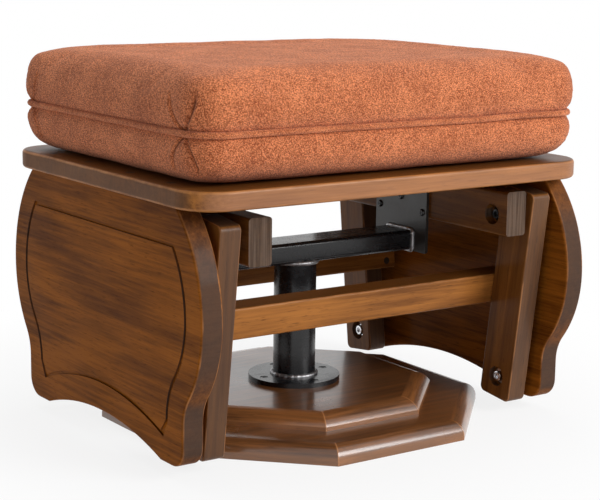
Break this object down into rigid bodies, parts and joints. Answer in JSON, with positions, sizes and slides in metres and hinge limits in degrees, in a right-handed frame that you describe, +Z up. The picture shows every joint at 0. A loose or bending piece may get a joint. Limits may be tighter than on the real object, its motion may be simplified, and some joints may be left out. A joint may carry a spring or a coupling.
{
  "type": "glider ottoman",
  "caption": "Gliding footstool: a cushioned board on curved side panels hangs from swinging wooden arms, carried by a steel column on a stepped octagonal base.",
  "frame": {"origin": "on the floor, in the middle of the base, on the axis of the column", "axes": "+X along the long side of the seat, to the right seen from the front; +Y to the back, the glide direction; +Z up"},
  "size_m": [0.56, 0.452, 0.4555],
  "materials": {
    "walnut_panel": "gloss",
    "walnut_frame": "satin",
    "walnut_base": "gloss",
    "dowel_wood": "matte",
    "black_steel": "gloss",
    "weld_metal": "satin",
    "bright_bolt": "polished",
    "zinc_steel": "satin",
    "bearing_plastic": "satin",
    "cover_fabric": "matte",
    "piping_fabric": "matte",
    "foam_block": "matte"
  },
  "bodies": {
    "base": {"base_lower_tier": "walnut_base", "base_upper_tier": "walnut_base", "tier_screws": "zinc_steel", "column_flange": "black_steel", "flange_screws": "black_steel", "column": "black_steel", "column_welds": "weld_metal", "crossbar": "black_steel", "crossbar_welds": "weld_metal", "end_plate_left": "black_steel", "end_plate_right": "black_steel", "plate_screws": "black_steel", "rail_left": "walnut_frame", "rail_right": "walnut_frame", "top_pivot_bolts": "bright_bolt", "top_spacers": "bearing_plastic", "top_lock_nuts": "zinc_steel"},
    "front_arms": {"front_left_arm": "walnut_frame", "front_right_arm": "walnut_frame", "front_stretcher": "walnut_frame", "front_stretcher_screws": "zinc_steel", "front_arm_bushes": "bearing_plastic"},
    "rear_arms": {"rear_left_arm": "walnut_frame", "rear_right_arm": "walnut_frame", "rear_stretcher": "walnut_frame", "rear_stretcher_screws": "zinc_steel", "rear_arm_bushes": "bearing_plastic"},
    "seat": {"seat_board": "walnut_panel", "side_panel_left": "walnut_panel", "side_panel_right": "walnut_panel", "panel_screws": "zinc_steel", "panel_dowels": "dowel_wood", "bottom_pivot_bolts": "bright_bolt", "bottom_spacers": "bearing_plastic", "panel_inserts": "zinc_steel", "cushion_cover": "cover_fabric", "cushion_foam": "foam_block", "cushion_piping": "piping_fabric"}
  },
  "joints": [
    {"name": "front_arms_hinge", "type": "hinge", "parent": "base", "child": "front_arms", "pos_m": [0, -0.172, 0.259], "axis": [1, 0, 0], "range_deg": [-10, 10]},
    {"name": "seat_hinge", "type": "hinge", "parent": "front_arms", "child": "seat", "pos_m": [0, -0.1456, 0.04401], "axis": [1, 0, 0], "range_deg": [-12, 12]},
    {"name": "rear_arms_hinge", "type": "hinge", "parent": "base", "child": "rear_arms", "pos_m": [0, 0.172, 0.259], "axis": [1, 0, 0], "range_deg": [-10, 10]}
  ],
  "couplings": [
    {"joint": "seat_hinge", "follows": "front_arms_hinge", "ratio": -1.18},
    {"joint": "rear_arms_hinge", "follows": "front_arms_hinge", "ratio": 1}
  ]
}
